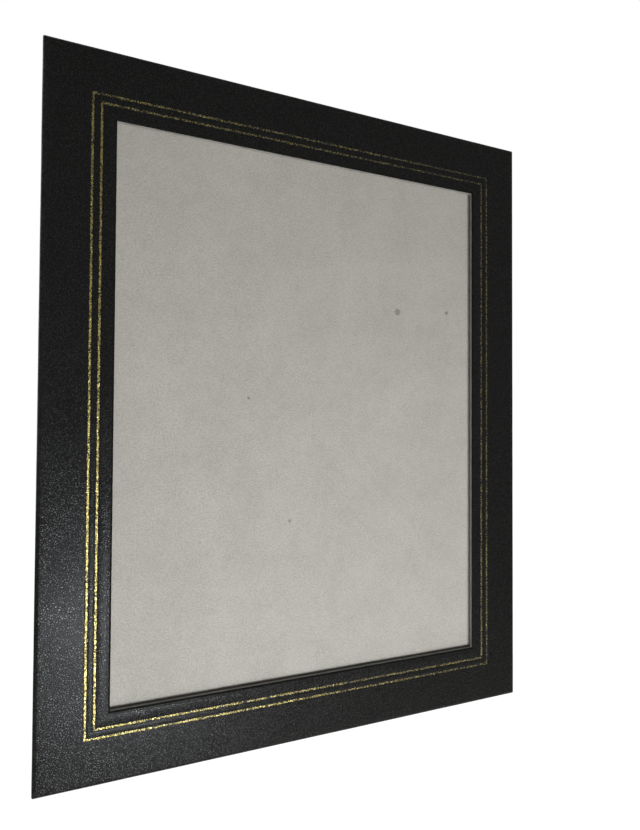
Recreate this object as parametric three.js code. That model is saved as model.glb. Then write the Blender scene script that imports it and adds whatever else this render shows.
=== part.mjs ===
// Paper certificate frame for a letter-size sheet, in millimetres, +Z up.
// X runs across the frame, +Y points into the wall, and the front faces -Y.
// The origin is the centre of the back face, where the frame lies against a wall.
// A windowed greyboard is covered with black leather-grain paper, turned in behind its outer edges.
// Three card strips hold it off a greyboard back, so that a certificate slides in from the top.

import * as THREE from 'three';

// Window and border
const windowWidth = 203.2;
const windowHeight = 266.7;
const borderWidth = 31.75;

// Thickness of each layer
const coverThickness = 0.3;
const frontBoardThickness = 2.2;
const spacerThickness = 1.2;
const backBoardThickness = 1.6;

// Shoulders of the covered board
const outerShoulderRadius = 1.8;
const windowShoulderRadius = 1.7;
const windowShoulderWidth = 1.1;
const foldRadius = 0.5;
const shoulderSteps = 6;

// Turned-in flap behind the front board
const flapWidth = 15;

// Two gold lines, stamped into the cover
const goldLineWidth = 1.1;
const outerLineInset = 21.1;
const lineSpacing = 3.9;
const stampDepth = 0.1;
const foilThickness = 0.05;

// Certificate and the pocket that it slides into
const certificateWidth = 215.9;
const certificateHeight = 279.4;
const pocketClearance = 1.5;

// How far the strips and the back board stay inside the covered edge
const backInset = 1.0;

// Depths behind the front face, and heights from the centre
const boardFrontDepth = coverThickness;
const boardBackDepth = boardFrontDepth + frontBoardThickness;
const flapBackDepth = boardBackDepth + coverThickness;
const backBoardDepth = flapBackDepth + spacerThickness;
const totalDepth = backBoardDepth + backBoardThickness;
const halfWindowWidth = windowWidth / 2;
const halfWindowHeight = windowHeight / 2;

// Points run along a section of the border.
// Each has its distance out from the window's edge and its depth behind the front face.
const sectionPoint = (out, depth) => ({ out, depth });

// The front surface dips towards the die-cut window edge on part of a circle.
function windowShoulder(thickness) {
  const points = [];
  for (let step = 0; step <= shoulderSteps; step += 1) {
    const out = (windowShoulderWidth * step) / shoulderSteps;
    const reach = windowShoulderWidth - out;
    const dip = windowShoulderRadius - Math.sqrt(windowShoulderRadius ** 2 - reach ** 2);
    points.push(sectionPoint(out, dip + thickness));
  }
  return points;
}

// A quarter circle round an outer edge, from one flat side to the next.
// towards is 1 where it turns from the front face to the side, and -1 at the fold behind.
function quarterTurn(out, depth, radius, towards) {
  const points = [];
  for (let step = 0; step <= shoulderSteps; step += 1) {
    const angle = (Math.PI / 2) * (step / shoulderSteps);
    const along = towards > 0 ? Math.sin(angle) : Math.cos(angle);
    const across = towards > 0 ? Math.cos(angle) : Math.sin(angle);
    points.push(sectionPoint(out - radius + radius * along, depth - towards * radius * across));
  }
  return points;
}

// Outline of the covered board from the window's edge to the flap, a given thickness below its surface.
function coveredOutline(thickness) {
  const edge = borderWidth - thickness;
  const front = thickness;
  const back = flapBackDepth - thickness;
  const outerRadius = outerShoulderRadius - thickness;
  const innerRadius = foldRadius - thickness;
  return {
    face: windowShoulder(thickness),
    shoulder: quarterTurn(edge, front + outerRadius, outerRadius, 1),
    fold: quarterTurn(edge, back - innerRadius, innerRadius, -1),
  };
}

// A stamped groove across the front face, from its window side to its outer side.
function stampedGroove(lineInset) {
  const middle = borderWidth - lineInset;
  const near = middle - goldLineWidth / 2;
  const far = middle + goldLineWidth / 2;
  return [
    sectionPoint(near, 0),
    sectionPoint(near, stampDepth),
    sectionPoint(far, stampDepth),
    sectionPoint(far, 0),
  ];
}

// A section of four points between two distances out and two depths.
function barSection(nearOut, farOut, frontDepth, backDepth) {
  return [
    sectionPoint(nearOut, frontDepth),
    sectionPoint(farOut, frontDepth),
    sectionPoint(farOut, backDepth),
    sectionPoint(nearOut, backDepth),
  ];
}

// Carries a closed section round the window, with mitred corners, as one closed body.
function borderGeometry(section) {
  const positions = [];
  const indices = [];
  const corners = [[1, 1], [-1, 1], [-1, -1], [1, -1]];
  for (const [sideX, sideZ] of corners) {
    for (const { out, depth } of section) {
      positions.push(sideX * (halfWindowWidth + out), depth - totalDepth, sideZ * (halfWindowHeight + out));
    }
  }
  const count = section.length;
  for (let side = 0; side < corners.length; side += 1) {
    const here = side * count;
    const there = ((side + 1) % corners.length) * count;
    for (let point = 0; point < count; point += 1) {
      const after = (point + 1) % count;
      indices.push(here + point, here + after, there + point);
      indices.push(there + point, here + after, there + after);
    }
  }
  const geometry = new THREE.BufferGeometry();
  geometry.setAttribute('position', new THREE.Float32BufferAttribute(positions, 3));
  geometry.setIndex(indices);
  geometry.computeVertexNormals();
  return geometry;
}

const materials = {
  leatherPaper: new THREE.MeshStandardMaterial({ color: 0x1d1f20, roughness: 0.55, metalness: 0 }),
  goldFoil: new THREE.MeshStandardMaterial({ color: 0xc9b24e, roughness: 0.35, metalness: 1 }),
  greyboard: new THREE.MeshStandardMaterial({ color: 0xa8a49c, roughness: 0.92, metalness: 0 }),
};

const frame = new THREE.Group();

function addPiece(name, geometry, material) {
  const mesh = new THREE.Mesh(geometry, material);
  mesh.name = name;
  frame.add(mesh);
  return mesh;
}

// A flat rectangle of board, placed by the middle of its outline and the depth of its front.
function addSheet(name, width, height, thickness, middleX, middleZ, frontDepth) {
  const sheet = addPiece(name, new THREE.BoxGeometry(width, thickness, height), materials.greyboard);
  sheet.position.set(middleX, frontDepth + thickness / 2 - totalDepth, middleZ);
}

// Cover paper: the visible face with its two grooves, the wrapped edge and the flap behind.
function addFrontCover() {
  const visible = coveredOutline(0);
  const glued = coveredOutline(coverThickness);
  const innerLineInset = outerLineInset + lineSpacing;
  const flapEnd = borderWidth - flapWidth;
  const section = [
    ...visible.face,
    ...stampedGroove(innerLineInset),
    ...stampedGroove(outerLineInset),
    ...visible.shoulder,
    ...visible.fold,
    sectionPoint(flapEnd, flapBackDepth),
    sectionPoint(flapEnd, boardBackDepth),
    ...glued.fold.reverse(),
    ...glued.shoulder.reverse(),
    ...glued.face.reverse(),
  ];
  addPiece('front_cover', borderGeometry(section), materials.leatherPaper);
}

// Front board: fills the folded cover, with its raw edge showing round the window.
function addFrontBoard() {
  const glued = coveredOutline(coverThickness);
  const section = [
    ...glued.face,
    ...glued.shoulder,
    ...glued.fold,
    sectionPoint(0, boardBackDepth),
  ];
  addPiece('front_board', borderGeometry(section), materials.greyboard);
}

// Gold foil, lying on the floor of its groove.
function addGoldLine(name, lineInset) {
  const middle = borderWidth - lineInset;
  const halfLine = goldLineWidth / 2;
  const section = barSection(middle - halfLine, middle + halfLine, stampDepth - foilThickness, stampDepth);
  addPiece(name, borderGeometry(section), materials.goldFoil);
}

// Card strips down both sides and along the bottom, round three sides of the pocket.
function addSpacers() {
  const outerX = halfWindowWidth + borderWidth - backInset;
  const outerZ = halfWindowHeight + borderWidth - backInset;
  const pocketX = certificateWidth / 2 + pocketClearance;
  const pocketBottom = -(certificateHeight / 2 + pocketClearance);
  const sideWidth = outerX - pocketX;
  const middleX = (outerX + pocketX) / 2;
  const bottomHeight = pocketBottom + outerZ;
  const bottomMiddle = (pocketBottom - outerZ) / 2;
  for (const [name, side] of [['spacer_left', -1], ['spacer_right', 1]]) {
    addSheet(name, sideWidth, 2 * outerZ, spacerThickness, side * middleX, 0, flapBackDepth);
  }
  addSheet('spacer_bottom', 2 * pocketX, bottomHeight, spacerThickness, 0, bottomMiddle, flapBackDepth);
}

// Back board: closes the pocket and shows through the window.
function addBackBoard() {
  const width = windowWidth + 2 * (borderWidth - backInset);
  const height = windowHeight + 2 * (borderWidth - backInset);
  addSheet('back_board', width, height, backBoardThickness, 0, 0, backBoardDepth);
}

addFrontCover();
addFrontBoard();
addGoldLine('gold_line_outer', outerLineInset);
addGoldLine('gold_line_inner', outerLineInset + lineSpacing);
addSpacers();
addBackBoard();

export default frame;
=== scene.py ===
import math

import bpy
import numpy as np
from mathutils import Matrix, Vector


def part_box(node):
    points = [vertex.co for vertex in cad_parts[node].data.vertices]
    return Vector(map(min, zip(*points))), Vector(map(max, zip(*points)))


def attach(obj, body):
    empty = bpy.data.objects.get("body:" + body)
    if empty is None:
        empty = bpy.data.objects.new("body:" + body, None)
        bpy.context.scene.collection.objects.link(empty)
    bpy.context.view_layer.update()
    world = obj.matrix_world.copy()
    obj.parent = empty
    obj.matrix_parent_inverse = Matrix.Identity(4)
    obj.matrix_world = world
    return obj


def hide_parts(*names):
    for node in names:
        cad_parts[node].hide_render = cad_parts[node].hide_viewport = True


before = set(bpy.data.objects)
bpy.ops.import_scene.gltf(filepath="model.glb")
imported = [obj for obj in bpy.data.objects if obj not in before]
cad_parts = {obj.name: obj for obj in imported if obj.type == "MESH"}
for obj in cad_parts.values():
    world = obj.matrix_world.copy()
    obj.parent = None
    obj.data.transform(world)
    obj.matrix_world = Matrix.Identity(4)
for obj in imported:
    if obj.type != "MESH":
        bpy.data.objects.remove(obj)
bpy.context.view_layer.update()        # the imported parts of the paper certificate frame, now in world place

mm = 0.001
sharpFrom = math.radians(38)            # an edge that turns further than this is shaded sharp


# Places and sizes that every piece shares, read from the solids where they say them.

coverLow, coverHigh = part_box("front_cover")
faceY = coverLow.y                      # front of the cover paper
flapY = coverHigh.y                     # back of its turned-in flaps
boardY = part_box("back_board")[0].y      # grey face seen through the window
borderWidth = 31.75 * mm
windowHalfX = coverHigh.x - borderWidth
windowHalfZ = coverHigh.z - borderWidth


# Shapes as surfaces on a grid

def smoothStep(low, high, value):
    # 0 below low, 1 above high, and 3t^2 - 2t^3 between them
    t = np.clip((value - low) / (high - low), 0, 1)
    return t * t * (3 - 2 * t)


def softNoise(x, z, size, seed, waves=14):
    # sum of cosines of random direction, phase and length near size, with a spread of about 1
    draw = np.random.default_rng(seed)
    heading = draw.uniform(0, 2 * math.pi, waves)
    phase = draw.uniform(0, 2 * math.pi, waves)
    pitch = 2 * math.pi / (size * draw.uniform(0.7, 1.7, waves))
    swing = np.multiply.outer(x, pitch * np.cos(heading)) + np.multiply.outer(z, pitch * np.sin(heading))
    return np.cos(swing + phase).sum(-1) / math.sqrt(waves / 2)


def ringLoop(perSide, perCorner):
    # One turn round a rectangle: u and v run from -1 to 1 along its sides and angle turns at its corners.
    # With half sizes a and b and corner radius r, x = (a - r) u + r cos(angle) and
    # z = (b - r) v + r sin(angle)
    along = np.linspace(-1, 1, perSide)
    turn = np.linspace(0, math.pi / 2, perCorner + 2)[1:-1]
    u, v, angle = [], [], []
    for quarter in range(4):
        c, s = [(1, 0), (0, 1), (-1, 0), (0, -1)][quarter]
        u += [c - s * along, np.full_like(turn, c - s)]
        v += [s + c * along, np.full_like(turn, s + c)]
        angle += [np.full_like(along, quarter * math.pi / 2), quarter * math.pi / 2 + turn]
    return np.concatenate(u), np.concatenate(v), np.concatenate(angle)


def ringSurface(loop, halfX, halfZ, radius):
    # every point of a profile carried round the loop, as two arrays of profile by loop
    u, v, angle = loop
    x = (halfX - radius) * u + radius * np.cos(angle)
    z = (halfZ - radius) * v + radius * np.sin(angle)
    return x, z


def gridFaces(rows, columns, closed):
    # four corners of each cell; columns always close on themselves, rows only if closed
    index = np.arange(rows * columns).reshape(rows, columns)
    after = np.roll(index, -1, axis=0) if closed else index[1:]
    here = index if closed else index[:-1]
    cells = [here, np.roll(here, -1, axis=1), np.roll(after, -1, axis=1), after]
    return np.stack(cells, -1).reshape(-1, 4)


def signedVolume(points, faces):
    # a sixth of the triple product a . (b x c), summed over the two triangles of each cell
    a, b, c, d = (points[faces[:, i]] for i in range(4))
    return (np.einsum("ij,ij->i", a, np.cross(b, c)) + np.einsum("ij,ij->i", a, np.cross(c, d))).sum() / 6


def addObject(name, data):
    made = bpy.data.objects.new(name, data)
    bpy.context.scene.collection.objects.link(made)
    return made


def makePiece(name, points, faces, material, replaced, caps=()):
    # a closed mesh whose faces point outwards, standing for a solid of the frame
    if signedVolume(points, faces) < 0:
        faces = faces[:, ::-1]
        caps = [cap[:, ::-1] for cap in caps]
    mesh = bpy.data.meshes.new(name)
    ends = [face for cap in caps for face in cap.tolist()]
    mesh.from_pydata(points.tolist(), [], faces.tolist() + ends)
    mesh.update()
    mesh.shade_smooth()
    mesh.set_sharp_from_angle(angle=sharpFrom)
    piece = addObject(name, mesh)
    mesh.materials.append(material)
    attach(piece, "root")
    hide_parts(replaced)
    return piece


def paintProfile(piece, name, values):
    # one number for each point of the profile, the same all round, which a material reads by its name
    layer = piece.data.attributes.new(name, "FLOAT", "POINT")
    allRound = np.repeat(values, len(piece.data.vertices) // len(values))
    layer.data.foreach_set("value", allRound.astype(np.float32))


# Short ways to write shader nodes

def addNode(tree, kind, inputs=None, **settings):
    # each input is a value, or another node's output to link
    made = tree.nodes.new(kind)
    for key, value in settings.items():
        setattr(made, key, value)
    for key, value in (inputs or {}).items():
        if isinstance(value, bpy.types.NodeSocket):
            tree.links.new(value, made.inputs[key])
        else:
            made.inputs[key].default_value = value
    return made


def mathOf(tree, operation, first, second=0.0):
    return addNode(tree, "ShaderNodeMath", {0: first, 1: second}, operation=operation).outputs[0]


def vectorOf(tree, operation, first, second):
    return addNode(tree, "ShaderNodeVectorMath", {0: first, 1: second}, operation=operation).outputs[0]


def cellEdges(tree, vector, scale):
    # distance to the nearest edge of irregular cells
    inputs = {"Vector": vector, "Scale": scale}
    return addNode(tree, "ShaderNodeTexVoronoi", inputs, feature="DISTANCE_TO_EDGE").outputs["Distance"]


def sumOf(tree, *parts):
    # each part is a value and its share, and the result is the sum of value times share
    total = mathOf(tree, "MULTIPLY", *parts[0])
    for value, share in parts[1:]:
        inputs = {0: value, 1: share, 2: total}
        total = addNode(tree, "ShaderNodeMath", inputs, operation="MULTIPLY_ADD").outputs[0]
    return total


def rampOf(tree, value, low, high, toLow=0.0, toHigh=1.0):
    inputs = {"Value": value, "From Min": low, "From Max": high, "To Min": toLow, "To Max": toHigh}
    return addNode(tree, "ShaderNodeMapRange", inputs, interpolation_type="SMOOTHSTEP").outputs["Result"]


def mixColours(tree, share, first, second):
    inputs = {0: share, 6: first, 7: second}
    return addNode(tree, "ShaderNodeMix", inputs, data_type="RGBA").outputs[2]


def noiseOf(tree, vector, scale, detail=3.0, roughness=0.55):
    inputs = {"Vector": vector, "Scale": scale, "Detail": detail, "Roughness": roughness}
    return addNode(tree, "ShaderNodeTexNoise", inputs).outputs["Fac"]


def readAttribute(tree, name):
    return addNode(tree, "ShaderNodeAttribute", attribute_name=name).outputs["Fac"]


def bumpSurface(tree, surface, height, distance, strength=1.0):
    inputs = {"Strength": strength, "Distance": distance, "Height": height}
    tree.links.new(addNode(tree, "ShaderNodeBump", inputs).outputs["Normal"], surface.inputs["Normal"])


def newMaterial(name):
    material = bpy.data.materials.new(name)
    material.use_nodes = True
    tree = material.node_tree
    surface = tree.nodes["Principled BSDF"]
    place = addNode(tree, "ShaderNodeTexCoord").outputs["Object"]
    return material, tree, surface, place


def newGroup(name, inputs, outputs):
    tree = bpy.data.node_groups.new(name, "ShaderNodeTree")
    for label, (kind, value) in inputs.items():
        made = tree.interface.new_socket(label, in_out="INPUT", socket_type=kind)
        if value is not None:
            made.default_value = value
    for label in outputs:
        tree.interface.new_socket(label, in_out="OUTPUT", socket_type="NodeSocketFloat")
    return tree, tree.nodes.new("NodeGroupInput").outputs, tree.nodes.new("NodeGroupOutput").inputs


def useGroup(tree, group, inputs):
    return addNode(tree, "ShaderNodeGroup", inputs, node_tree=group).outputs


# Camera of the photograph, solved from the corners of the gold lines and the window

camera = {
    "place": (-148.6 * mm, -312.2 * mm, -7.3 * mm),
    "turnRight": 26.15,                 # degrees from straight into the wall
    "tiltUp": 1.34,
    "roll": 0.31,
    "lens": 28.48,                      # millimetres on a sensor 36 tall
}


def placeCamera():
    data = bpy.data.cameras.new("photoCamera")
    data.sensor_width = 36
    data.lens = camera["lens"]
    data.clip_start = 0.01
    data.clip_end = 50
    made = addObject("photoCamera", data)
    turn = Matrix.Rotation(-math.radians(camera["turnRight"]), 4, "Z")
    tilt = Matrix.Rotation(math.pi / 2 + math.radians(camera["tiltUp"]), 4, "X")
    roll = Matrix.Rotation(math.radians(camera["roll"]), 4, "Z")
    made.matrix_world = Matrix.Translation(camera["place"]) @ turn @ tilt @ roll
    bpy.context.scene.camera = made


placeCamera()
print("camera placed")


# Grain of the cover paper: small pebbles between creases, which the foil shares

def makeLeatherGrain():
    tree, given, result = newGroup(
        "leatherGrain",
        {"Vector": ("NodeSocketVector", None), "Pebbles": ("NodeSocketFloat", 900.0)},
        ("Height", "Crease"),
    )
    drift = addNode(tree, "ShaderNodeTexNoise", {"Vector": given["Vector"], "Scale": 600.0, "Detail": 2.0})
    push = vectorOf(tree, "SUBTRACT", drift.outputs["Color"], (0.5, 0.5, 0.5))
    reach = vectorOf(tree, "MULTIPLY", push, (1.2 * mm, 1.2 * mm, 1.2 * mm))
    bent = vectorOf(tree, "ADD", given["Vector"], reach)
    pebble = rampOf(tree, cellEdges(tree, bent, given["Pebbles"]), 0.0, 0.4)
    smaller = mathOf(tree, "MULTIPLY", given["Pebbles"], 2.7)
    dimple = rampOf(tree, cellEdges(tree, bent, smaller), 0.0, 0.4)
    swell = noiseOf(tree, given["Vector"], 330.0, 1.0)
    tree.links.new(sumOf(tree, (pebble, 0.6), (dimple, 0.1), (swell, 0.45)), result["Height"])
    tree.links.new(mathOf(tree, "SUBTRACT", 1.0, pebble), result["Crease"])
    return tree


# Fibres of grey pulp: a cloudy tone, short pale and dark fibres, and a height for bump

def makePulpFibres():
    tree, given, result = newGroup(
        "pulpFibres",
        {"Vector": ("NodeSocketVector", None), "Fibre Scale": ("NodeSocketFloat", 900.0)},
        ("Tone", "Warmth", "Specks", "Height"),
    )
    cloud = noiseOf(tree, given["Vector"], 32.0)
    patch = noiseOf(tree, given["Vector"], 240.0, 3.0, 0.6)
    fine = noiseOf(tree, given["Vector"], given["Fibre Scale"], 2.0, 0.6)
    threads = []
    for tilt in (0.5, 1.6, 2.7):
        drawn = {"Vector": given["Vector"], "Rotation": (0.0, tilt, 0.0), "Scale": (0.45, 1.0, 1.5)}
        laid = addNode(tree, "ShaderNodeMapping", drawn).outputs["Vector"]
        threads.append(noiseOf(tree, laid, given["Fibre Scale"], 1.0))
    pair = mathOf(tree, "MAXIMUM", threads[0], threads[1])
    fibre = rampOf(tree, mathOf(tree, "MAXIMUM", pair, threads[2]), 0.6, 0.76)
    dent = rampOf(tree, mathOf(tree, "MINIMUM", threads[0], threads[2]), 0.3, 0.42, 1.0, 0.0)
    tone = sumOf(tree, (cloud, 0.2), (patch, 0.16), (fine, 0.64), (fibre, 0.09), (dent, -0.09))
    dots = addNode(tree, "ShaderNodeTexVoronoi", {"Vector": given["Vector"], "Scale": 210.0})
    near = rampOf(tree, dots.outputs["Distance"], 0.03, 0.085, 1.0, 0.0)
    chance = addNode(tree, "ShaderNodeSeparateColor", {"Color": dots.outputs["Color"]})
    rare = mathOf(tree, "MULTIPLY", rampOf(tree, chance.outputs[0], 0.72, 0.98), near)
    tree.links.new(tone, result["Tone"])
    tree.links.new(noiseOf(tree, given["Vector"], 85.0, 2.0), result["Warmth"])
    tree.links.new(rare, result["Specks"])
    tree.links.new(sumOf(tree, (fine, 1.0), (fibre, 0.4)), result["Height"])
    return tree


leatherGrain = makeLeatherGrain()
pulpFibres = makePulpFibres()


# Cover paper: black, finely grained, pressed down at the lines, worn shinier on its shoulders, and dull
# where it bends down to the window's cut. The shoulders also get a lighter colour, partly wear and partly
# a painted highlight

cover = {
    "thickness": 0.3 * mm,
    "shoulder": 1.8 * mm,               # radius of the wrapped outer edge
    "fold": 0.5 * mm,                   # radius of the fold behind
    "flap": 15 * mm,
    "dipWidth": 1.1 * mm,               # where the face bends down to the window's cut
    "dipRadius": 1.7 * mm,
    "creaseOut": 1.6 * mm,              # faint crease that the die left round the window
    "creaseHalf": 0.5 * mm,
    "creaseDepth": 0.05 * mm,
    "pressDepth": 0.1 * mm,             # how deep the lines are stamped
    "pressLip": 0.25 * mm,
    "wave": 0.05 * mm,                  # unevenness of the glued face
    "waveSize": 55 * mm,
    "waveSeed": 11,
    "wander": 0.05 * mm,                # unevenness of the wrapped edge and the cut
    "edgeBand": (5 * mm, 1 * mm),       # how far in from the outer edge it starts, and is full
    "cutBand": 1.5 * mm,                # how far out from the window's cut it ends
    "driftSize": 30 * mm,               # length of its waves at the outer edge, and at the cut
    "wobbleSize": 9 * mm,
    "frontDepth": 1.2 * mm,             # the face waves down to this depth, and the sides don't
    "innerCorner": 0.2 * mm,            # corner radius of the window
    "outerCorner": 0.6 * mm,
    "edgeSeed": 5,
    "turnSteps": 12,                    # points round the outside of each bend, and round its glued side
    "gluedSteps": 8,
    "ink": (0.0078, 0.0080, 0.0077, 1),
    "crest": (0.0130, 0.0131, 0.0126, 1),
    # lighter colour of the rubbed shoulders: partly wear and partly a painted highlight along the bend
    "rubbedHighlight": (0.03, 0.03, 0.029, 1),
    "rubHighlightBand": (2.2 * mm, 0.8 * mm),    # how far in from the outer edge the rubbed and highlighted band starts, and is full
    "rubHighlightDepth": 2.0 * mm,               # and how far back it goes
    "dullBand": (0.3 * mm, 1.32 * mm),  # how far out from the cut the paper is dull, and shines again
    "roughness": 0.30,
    "crestShine": 0.50,
    "creaseShine": 0.12,
    "pebbles": 1100.0,                  # pebbles of the grain in a metre
    "grainDepth": 0.06 * mm,
}

goldLines = {
    "width": 1.1 * mm,
    "corner": 0.9 * mm,                 # corner radius of the outer line
    "thickness": 0.05 * mm,
    "colour": (0.95, 0.83, 0.30, 1),
    "deep": (0.62, 0.46, 0.13, 1),
    "roughness": 0.30,
    "grainDepth": 0.14 * mm,
    "fade": (0.8, 0.0, 0.3),            # extra wear a metre along X and Z, so the foil breaks up more towards the right and the top
    "crosswise": 0.09,                  # extra wear of the top and bottom runs
    "brokenFrom": 0.92,                 # wear at which the foil begins to let the black paper through
    "brokenOver": 0.13,                 # and how much more wear takes it away
}


def lineMiddle(node):
    # distance of a gold line's middle from the window's edge
    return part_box(node)[1].x - goldLines["width"] / 2 - windowHalfX


lineMiddles = [lineMiddle("gold_line_inner"), lineMiddle("gold_line_outer")]
ringSteps = ringLoop(perSide=190, perCorner=5)


def faceWave(x, z):
    # depth of the glued face below its highest points, never above them
    noise = softNoise(x, z, cover["waveSize"], cover["waveSeed"])
    return cover["wave"] * np.clip(0.5 + 0.35 * noise, 0, 1)


def pressedDepth(out):
    # a shallow crease near the window, and for each line a flat floor with an S-shaped lip up to the face
    depth = cover["creaseDepth"] * (1 - smoothStep(0, cover["creaseHalf"], abs(out - cover["creaseOut"])))
    half = goldLines["width"] / 2
    for middle in lineMiddles:
        depth += cover["pressDepth"] * (1 - smoothStep(half, half + cover["pressLip"], abs(out - middle)))
    return depth


def windowDip(out):
    # part of a circle from the face down to the window's cut
    reach = np.clip(cover["dipWidth"] - out, 0, None)
    return cover["dipRadius"] - np.sqrt(cover["dipRadius"] ** 2 - reach ** 2)


def coveredOutline(inset, steps):
    # dip and face, quarter circle of the shoulder and quarter circle of the fold, all lying inset below
    # the covered board's surface, as distances out from the window and depths behind the face
    back = flapY - faceY - inset
    edge = borderWidth - inset
    around = np.linspace(0, math.pi / 2, steps)
    shoulder = cover["shoulder"] - inset
    fold = cover["fold"] - inset
    half = goldLines["width"] / 2
    lips = [half + cover["pressLip"], half + cover["pressLip"] / 2, half, 0]
    pressed = [middle + side * lip for middle in lineMiddles for side in (-1, 1) for lip in lips]
    crease = cover["creaseOut"] + cover["creaseHalf"] * np.linspace(-1, 1, 9)
    plain = np.linspace(lineMiddles[1] + 2 * half, borderWidth - cover["shoulder"], 8)
    face = np.unique(np.concatenate([np.linspace(0, cover["dipWidth"], 9), crease, pressed, plain[:-1]]))
    out = [face, edge - shoulder + shoulder * np.sin(around), edge - fold + fold * np.cos(around)]
    faceDepth = windowDip(face) + inset
    if inset == 0:
        faceDepth = faceDepth + pressedDepth(face)
    depth = [faceDepth, inset + shoulder * (1 - np.cos(around)), back - fold + fold * np.sin(around)]
    return np.concatenate(out), np.concatenate(depth)


def borderSurface(out, depth):
    # each point of the outline goes round a rounded rectangle that lies out beyond the window's edge, at
    # y = face + depth, plus the wave on the front; x and z shift by softNoise near the edge and the cut
    corners = [cover["innerCorner"], cover["innerCorner"], goldLines["corner"], cover["outerCorner"]]
    radius = np.interp(out, [0, lineMiddles[0], lineMiddles[1], borderWidth], corners)
    halfX = windowHalfX + out[:, None]
    halfZ = windowHalfZ + out[:, None]
    x, z = ringSurface(ringSteps, halfX, halfZ, radius[:, None])
    starts, full = cover["edgeBand"]
    atEdge = smoothStep(borderWidth - starts, borderWidth - full, out)[:, None]
    atCut = (1 - smoothStep(0, cover["cutBand"], out))[:, None]
    drift = np.clip(softNoise(x, z, cover["driftSize"], cover["edgeSeed"]), -2, 2) / 2
    wobble = np.clip(softNoise(x, z, cover["wobbleSize"], cover["edgeSeed"] + 1), -2, 2) / 2
    shift = cover["wander"] * (atCut * abs(wobble) - atEdge * (drift + 1) / 2)
    u, v = ringSteps[:2]
    x = x + shift * np.where(abs(u) > 0.999, np.sign(u), 0)
    z = z + shift * np.where(abs(v) > 0.999, np.sign(v), 0)
    sunk = (depth < cover["frontDepth"])[:, None] * (1 - atEdge) * faceWave(x, z)
    return x, faceY + depth[:, None] + sunk, z


def stackPoints(x, y, z):
    return np.stack([x, y, z], -1).reshape(-1, 3)


def makeCoverMaterial():
    material, tree, surface, place = newMaterial("blackLeatherPaper")
    grain = useGroup(tree, leatherGrain, {"Vector": place, "Pebbles": cover["pebbles"]})
    # on the rubbed shoulders, in patches: a lighter colour, partly wear and partly a painted highlight, and
    # less roughness
    patchy = rampOf(tree, noiseOf(tree, place, 420.0), 0.35, 0.7)
    rubbedHighlight = mathOf(tree, "MULTIPLY", readAttribute(tree, "rubbedHighlight"), patchy)
    colour = mixColours(tree, grain["Crease"], cover["crest"], cover["ink"])
    colour = mixColours(tree, mathOf(tree, "MULTIPLY", rubbedHighlight, 0.5), colour, cover["rubbedHighlight"])
    tree.links.new(colour, surface.inputs["Base Color"])
    cloud = rampOf(tree, noiseOf(tree, place, 45.0), 0.3, 0.7, -0.05, 0.05)
    rough = mathOf(tree, "ADD", cloud, cover["roughness"])
    rough = mathOf(tree, "SUBTRACT", rough, mathOf(tree, "MULTIPLY", rubbedHighlight, 0.12))
    tree.links.new(rough, surface.inputs["Roughness"])
    shine = rampOf(tree, grain["Crease"], 0.1, 0.9, cover["crestShine"], cover["creaseShine"])
    dulled = mathOf(tree, "MULTIPLY", shine, rampOf(tree, readAttribute(tree, "bent"), 0.0, 1.0, 1.0, 0.1))
    tree.links.new(dulled, surface.inputs["Specular IOR Level"])
    bumpSurface(tree, surface, grain["Height"], cover["grainDepth"])
    return material


def makeCover():
    # one folded sheet: its seen side outwards from the window to the flap's end, and its glued side back
    out, depth = coveredOutline(0, cover["turnSteps"])
    innerOut, innerDepth = coveredOutline(cover["thickness"], cover["gluedSteps"])
    flapOut = np.linspace(borderWidth - cover["fold"], borderWidth - cover["flap"], 5)[1:]
    flapBack = flapY - faceY
    out = np.concatenate([out, flapOut, [flapOut[-1]], innerOut[::-1]])
    flapDepths = [np.full_like(flapOut, flapBack), [flapBack - cover["thickness"]]]
    depth = np.concatenate([depth, *flapDepths, innerDepth[::-1]])
    x, y, z = borderSurface(out, depth)
    piece = makePiece("coverPaper", stackPoints(x, y, z), gridFaces(*x.shape, closed=True),
                      makeCoverMaterial(), "front_cover")
    # the rubbed shoulder band, whose lighter colour is partly a painted highlight
    starts, full = cover["rubHighlightBand"]
    onShoulder = smoothStep(borderWidth - starts, borderWidth - full, out)
    paintProfile(piece, "rubbedHighlight", onShoulder * (depth < cover["rubHighlightDepth"]))
    paintProfile(piece, "bent", 1 - smoothStep(*cover["dullBand"], out))


makeCover()
print("cover paper made")


# Gold foil: two thin rings at the bottom of their stamped lines, broken by the grain

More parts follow.
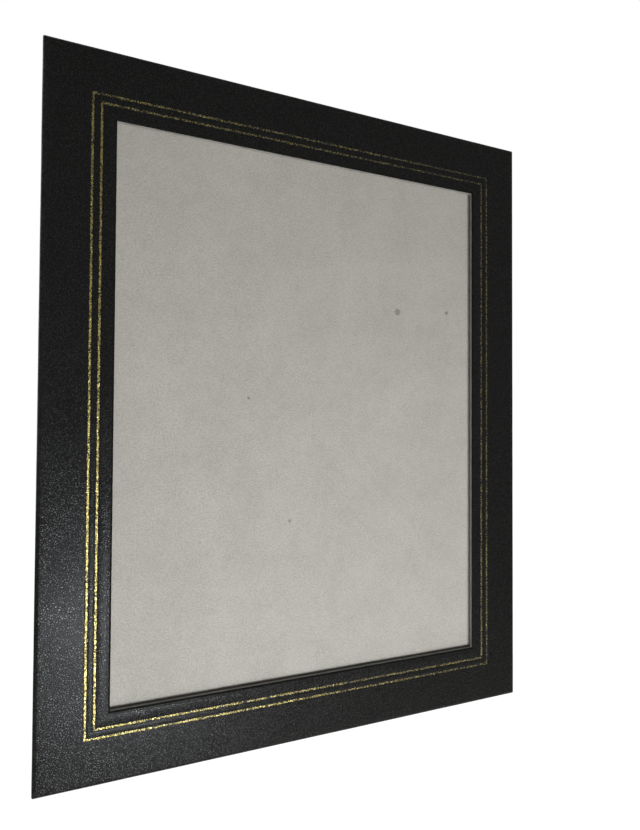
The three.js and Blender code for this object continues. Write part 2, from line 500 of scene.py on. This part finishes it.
def makeFoilMaterial():
    material, tree, surface, place = newMaterial("goldFoil")
    grain = useGroup(tree, leatherGrain, {"Vector": place, "Pebbles": cover["pebbles"]})
    patches = noiseOf(tree, place, 260.0, 3.0, 0.6)
    specks = noiseOf(tree, place, 1300.0, 2.0, 0.6)
    rim = mathOf(tree, "POWER", readAttribute(tree, "across"), 3.0)
    drift = addNode(tree, "ShaderNodeVectorMath", {0: place, 1: goldLines["fade"]}, operation="DOT_PRODUCT")
    along = addNode(tree, "ShaderNodeSeparateXYZ", {"Vector": place}).outputs
    height = mathOf(tree, "ABSOLUTE", along["Z"])
    innerRun = windowHalfZ + lineMiddles[0]
    run = rampOf(tree, height, innerRun - 3 * mm, innerRun - 1 * mm)
    worn = sumOf(tree, (grain["Crease"], 0.5), (specks, 0.8), (patches, 0.4), (rim, 0.2),
                 (drift.outputs["Value"], 1.0), (run, goldLines["crosswise"]))
    gone = goldLines["brokenFrom"] + goldLines["brokenOver"]
    kept = rampOf(tree, worn, goldLines["brokenFrom"], gone, 1.0, 0.0)
    gold = mixColours(tree, rampOf(tree, specks, 0.38, 0.62), goldLines["colour"], goldLines["deep"])
    tree.links.new(mixColours(tree, kept, cover["crest"], gold), surface.inputs["Base Color"])
    tree.links.new(kept, surface.inputs["Metallic"])
    rough = rampOf(tree, kept, 0.0, 1.0, cover["roughness"], goldLines["roughness"])
    tree.links.new(rough, surface.inputs["Roughness"])
    crumpled = mathOf(tree, "ADD", grain["Height"], specks)
    bumpSurface(tree, surface, crumpled, goldLines["grainDepth"])
    return material


foilMaterial = makeFoilMaterial()


def makeGoldLine(name, node):
    # a flat ribbon with rounded rims, on the floor of its stamped line
    across = np.array([-1, -0.92, -0.5, 0, 0.5, 0.92, 1, 1, -1])
    lift = np.array([0.45, 0.9, 1, 1, 1, 0.9, 0.45, 0, 0])
    out = lineMiddle(node) + across * goldLines["width"] / 2
    depth = cover["pressDepth"] - lift * goldLines["thickness"]
    x, y, z = borderSurface(out, depth)
    piece = makePiece(name, stackPoints(x, y, z), gridFaces(*x.shape, closed=True),
                      foilMaterial, node)
    paintProfile(piece, "across", abs(across))


makeGoldLine("goldLineOuter", "gold_line_outer")
makeGoldLine("goldLineInner", "gold_line_inner")
print("gold lines made")


# Greyboard: the face through the window, the raw cut edges, and the flecks that the photograph shows

greyboard = {
    "pale": (0.458, 0.446, 0.411, 1),
    "deep": (0.327, 0.317, 0.288, 1),
    "warm": (0.410, 0.385, 0.345, 1),
    "speck": (0.09, 0.085, 0.075, 1),
    "toneSpread": (0.33, 0.69),         # tones of the pulp that are wholly deep, and wholly pale
    "speckShare": 0.55,
    "fleckRag": 1.1 * mm,               # raggedness of a fleck's outline
    "roughness": 0.9,
    "specular": 0.25,
    "fibres": 1250.0,                   # fibres of the face in a metre
    "grainDepth": 0.05 * mm,
    "cutPale": (0.42, 0.41, 0.39, 1),
    "cutDeep": (0.19, 0.185, 0.17, 1),
    "cutSpread": (0.36, 0.62),
    "cutDrawn": (0.12, 3.2, 0.12),      # scale of the layers along X, Y and Z
    "cutLayers": 1400.0,
    "cutRoughness": 0.95,
    "cutSpecular": 0.2,
    "cutFibres": 1200.0,
    "cutGrainDepth": 0.1 * mm,
    "ease": 0.25 * mm,                  # radius of the back board's eased edges, and of its corners
    "corner": 0.7 * mm,
}

boardFlecks = [                         # x and z on the board, radius, all in millimetres, and darkness
    (52, 59.3, 1.9, 0.5),
    (85.8, 61.6, 1.1, 0.6),
    (-36, 8.7, 0.8, 0.6),
    (-13.2, -53.9, 1.1, 0.4),
    (77.2, 82.3, 0.5, 0.45),
    (12, 88.7, 0.45, 0.4),
    (51.9, 97.1, 0.5, 0.35),
    (-60.3, -61.8, 0.6, 0.35),
    (-78.5, -66.1, 0.5, 0.35),
    (-82.9, -86.6, 0.45, 0.35),
]


def makeBoardMaterial():
    material, tree, surface, place = newMaterial("greyboardFace")
    pulp = useGroup(tree, pulpFibres, {"Vector": place, "Fibre Scale": greyboard["fibres"]})
    tone = rampOf(tree, pulp["Tone"], *greyboard["toneSpread"])
    warmth = rampOf(tree, pulp["Warmth"], 0.35, 0.7, 0.0, 0.25)
    colour = mixColours(tree, tone, greyboard["deep"], greyboard["pale"])
    colour = mixColours(tree, warmth, colour, greyboard["warm"])
    dark = mathOf(tree, "MULTIPLY", pulp["Specks"], greyboard["speckShare"])
    rag = mathOf(tree, "MULTIPLY", noiseOf(tree, place, 1300.0, 2.0), greyboard["fleckRag"])
    for x, z, radius, darkness in boardFlecks:
        middle = (x * mm, boardY, z * mm)
        away = addNode(tree, "ShaderNodeVectorMath", {0: place, 1: middle}, operation="DISTANCE")
        ragged = mathOf(tree, "ADD", away.outputs["Value"], rag)
        spot = rampOf(tree, ragged, (radius + 0.1) * mm, (radius + 0.75) * mm, darkness, 0.0)
        dark = mathOf(tree, "MAXIMUM", dark, spot)
    tree.links.new(mixColours(tree, dark, colour, greyboard["speck"]), surface.inputs["Base Color"])
    surface.inputs["Roughness"].default_value = greyboard["roughness"]
    surface.inputs["Specular IOR Level"].default_value = greyboard["specular"]
    bumpSurface(tree, surface, pulp["Height"], greyboard["grainDepth"], strength=0.8)
    return material


def makeCutMaterial():
    # layers of pulp run along the cut, so the pattern is drawn out in X and Z and tight in Y
    material, tree, surface, place = newMaterial("greyboardCut")
    pulp = useGroup(tree, pulpFibres, {"Vector": place, "Fibre Scale": greyboard["cutFibres"]})
    drawn = addNode(tree, "ShaderNodeMapping", {"Vector": place, "Scale": greyboard["cutDrawn"]})
    layers = noiseOf(tree, drawn.outputs["Vector"], greyboard["cutLayers"], 3.0, 0.65)
    share = sumOf(tree, (layers, 0.7), (pulp["Tone"], 0.3))
    tone = rampOf(tree, share, *greyboard["cutSpread"])
    colour = mixColours(tree, tone, greyboard["cutDeep"], greyboard["cutPale"])
    tree.links.new(colour, surface.inputs["Base Color"])
    surface.inputs["Roughness"].default_value = greyboard["cutRoughness"]
    surface.inputs["Specular IOR Level"].default_value = greyboard["cutSpecular"]
    bumpSurface(tree, surface, share, greyboard["cutGrainDepth"])
    return material


boardMaterial = makeBoardMaterial()
cutMaterial = makeCutMaterial()


def makeFrontBoard():
    # the covered board: the cover's own inner outline, closed by its back and its raw cut at the window
    innerOut, innerDepth = coveredOutline(cover["thickness"], cover["gluedSteps"])
    backDepth = flapY - faceY - cover["thickness"]
    backOut = np.linspace(borderWidth - cover["fold"], 0, 6)[1:-1]
    cutDepth = np.linspace(backDepth, innerDepth[0], 8)[:-1]
    out = np.concatenate([innerOut, backOut, np.zeros_like(cutDepth)])
    depth = np.concatenate([innerDepth, np.full_like(backOut, backDepth), cutDepth])
    x, y, z = borderSurface(out, depth)
    makePiece("frontBoard", stackPoints(x, y, z), gridFaces(*x.shape, closed=True),
              cutMaterial, "front_board")


def makeBackBoard():
    # rings from the middle of the front, over the eased edge, to the middle of the back: each is the
    # outline times its share, and the edge between is two quarter circles
    ease = greyboard["ease"]
    low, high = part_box("back_board")
    around = np.linspace(0, math.pi / 2, 4)
    reach = np.concatenate([ease - ease * np.sin(around), ease - ease * np.cos(around)])
    side = np.concatenate([low.y + ease * (1 - np.cos(around)), high.y - ease + ease * np.sin(around)])
    inward = np.linspace(0.04, 1, 26)[:-1]
    share = np.concatenate([inward, np.ones_like(reach), inward[::-1]])
    inset = np.concatenate([np.full_like(inward, ease), reach, np.full_like(inward, ease)])
    y = np.concatenate([np.full_like(inward, low.y), side, np.full_like(inward, high.y)])
    loop = ringLoop(perSide=60, perCorner=4)
    x, z = ringSurface(loop, high.x - inset[:, None], high.z - inset[:, None], greyboard["corner"])
    x, z = x * share[:, None], z * share[:, None]
    y = np.broadcast_to(y[:, None], x.shape)
    rows, columns = x.shape
    caps = [np.arange(columns)[None, ::-1], (rows - 1) * columns + np.arange(columns)[None, :]]
    piece = makePiece("backBoard", stackPoints(x, y, z), gridFaces(rows, columns, closed=False),
                      boardMaterial, "back_board", caps=caps)
    piece.data.materials.append(cutMaterial)
    normals = np.zeros(len(piece.data.polygons) * 3)
    piece.data.polygons.foreach_get("normal", normals)
    onEdge = abs(normals.reshape(-1, 3)[:, 1]) < 0.6
    piece.data.polygons.foreach_set("material_index", onEdge.astype(np.int32))


makeFrontBoard()
makeBackBoard()
for strip in ("spacer_left", "spacer_right", "spacer_bottom"):
    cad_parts[strip].data.materials.clear()
    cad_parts[strip].data.materials.append(cutMaterial)
print("boards and strips made")


# Studio: a low pale floor, a near lamp in front of the lower left that also shines in the gloss, and matt
# light from low in front and from behind

studio = {
    "floorDrop": 0.45,                  # metres below the frame's lower edge
    "ambientBelow": 0.16,
    "ambientAbove": 0.08,
    "frontGloss": 0.15,
    "warmWhite": (1.0, 0.985, 0.945),
    "floorHalf": 6.0,                   # metres from the floor's middle to its edges
    "floorGrey": (0.8, 0.8, 0.8, 1),
    "floorGlow": 1.12,                  # strength and share of the white that the camera sees on the floor
    "floorGlowShare": 0.92,
}

lamps = {
    # level is the light that a white board would send back from the point aimed at, facing along Y
    "lampNear": {
        "place": (-0.045, -0.40, -0.215),
        "target": (-0.02, 0, -0.11),
        "size": 0.10,
        "level": 0.47,
        "colour": (0.91, 0.95, 1.0),
        "inGloss": True,
    },
    "lampLow": {
        "place": (0.06, -0.26, -0.25),
        "target": (0, 0, -0.12),
        "size": 0.12,
        "level": 0.09,
        "colour": studio["warmWhite"],
        "inGloss": False,
    },
    "lampFar": {
        "place": (0.25, -1.2, -0.42),
        "target": (0, 0, 0),
        "size": 0.3,
        "level": 0.53,
        "colour": studio["warmWhite"],
        "inGloss": False,
    },
    "lampBehindRight": {
        "place": (0.9, 0.8, 0.45),
        "target": (0, 0, 0),
        "size": 0.4,
        "level": 0.40,
        "colour": studio["warmWhite"],
        "inGloss": False,
    },
    "lampBehindLeft": {
        "place": (-0.9, 0.8, 0.3),
        "target": (0, 0, 0),
        "size": 0.4,
        "level": 0.30,
        "colour": studio["warmWhite"],
        "inGloss": False,
    },
}


def makeLamp(name, lamp):
    # an area lamp at distance d sends level = energy slant / (pi^2 d^2) to the point that it is aimed at
    data = bpy.data.lights.new(name, "AREA")
    data.size = lamp["size"]
    beam = Vector(lamp["place"]) - Vector(lamp["target"])
    slant = abs(beam.y) / beam.length
    data.energy = lamp["level"] * math.pi ** 2 * beam.length_squared / slant
    data.color = lamp["colour"]
    made = addObject(name, data)
    turn = beam.to_track_quat("Z", "Y").to_matrix().to_4x4()
    made.matrix_world = Matrix.Translation(lamp["place"]) @ turn
    made.visible_camera = False
    made.visible_glossy = lamp["inGloss"]


def makeWorld():
    # white where the camera looks and behind the frame, soft grey for the light and the gloss in front
    world = bpy.data.worlds.new("paleStudio")
    world.use_nodes = True
    tree = world.node_tree
    tree.nodes.clear()
    path = addNode(tree, "ShaderNodeLightPath").outputs
    heading = addNode(tree, "ShaderNodeTexCoord").outputs["Generated"]
    along = addNode(tree, "ShaderNodeSeparateXYZ", {"Vector": heading}).outputs
    gloss = rampOf(tree, along["Y"], -0.1, 0.25, studio["frontGloss"], 1.0)
    matt = rampOf(tree, along["Z"], -0.7, 0.7, studio["ambientBelow"], studio["ambientAbove"])
    level = addNode(tree, "ShaderNodeMix", {0: path["Is Glossy Ray"], 2: matt, 3: gloss}).outputs[0]
    seen = mathOf(tree, "MAXIMUM", path["Is Camera Ray"], path["Is Transmission Ray"])
    strength = addNode(tree, "ShaderNodeMix", {0: seen, 2: level, 3: 1.0}).outputs[0]
    light = addNode(tree, "ShaderNodeBackground", {"Color": (1, 1, 1, 1), "Strength": strength}).outputs[0]
    tree.links.new(light, addNode(tree, "ShaderNodeOutputWorld").inputs["Surface"])
    bpy.context.scene.world = world


def makeFloor():
    # white to the camera, with the shadow that falls on it kept as a light grey
    half = studio["floorHalf"]
    level = coverLow.z - studio["floorDrop"]
    mesh = bpy.data.meshes.new("paleFloor")
    corners = [(-half, -half, level), (half, -half, level), (half, half, level), (-half, half, level)]
    mesh.from_pydata(corners, [], [(0, 1, 2, 3)])
    floor = addObject("paleFloor", mesh)
    material = bpy.data.materials.new("paleFloor")
    material.use_nodes = True
    tree = material.node_tree
    tree.nodes.clear()
    path = addNode(tree, "ShaderNodeLightPath").outputs
    matt = addNode(tree, "ShaderNodeBsdfDiffuse", {"Color": studio["floorGrey"]}).outputs[0]
    glow = {"Color": (1, 1, 1, 1), "Strength": studio["floorGlow"]}
    white = addNode(tree, "ShaderNodeEmission", glow).outputs[0]
    seen = mathOf(tree, "MAXIMUM", path["Is Camera Ray"], path["Is Transmission Ray"])
    share = mathOf(tree, "MULTIPLY", seen, studio["floorGlowShare"])
    mixed = addNode(tree, "ShaderNodeMixShader", {0: share, 1: matt, 2: white}).outputs[0]
    tree.links.new(mixed, addNode(tree, "ShaderNodeOutputMaterial").inputs["Surface"])
    mesh.materials.append(material)


makeWorld()
makeFloor()
for lampName, lampValues in lamps.items():
    makeLamp(lampName, lampValues)
bpy.context.scene.view_settings.view_transform = "Standard"
print("studio lit")
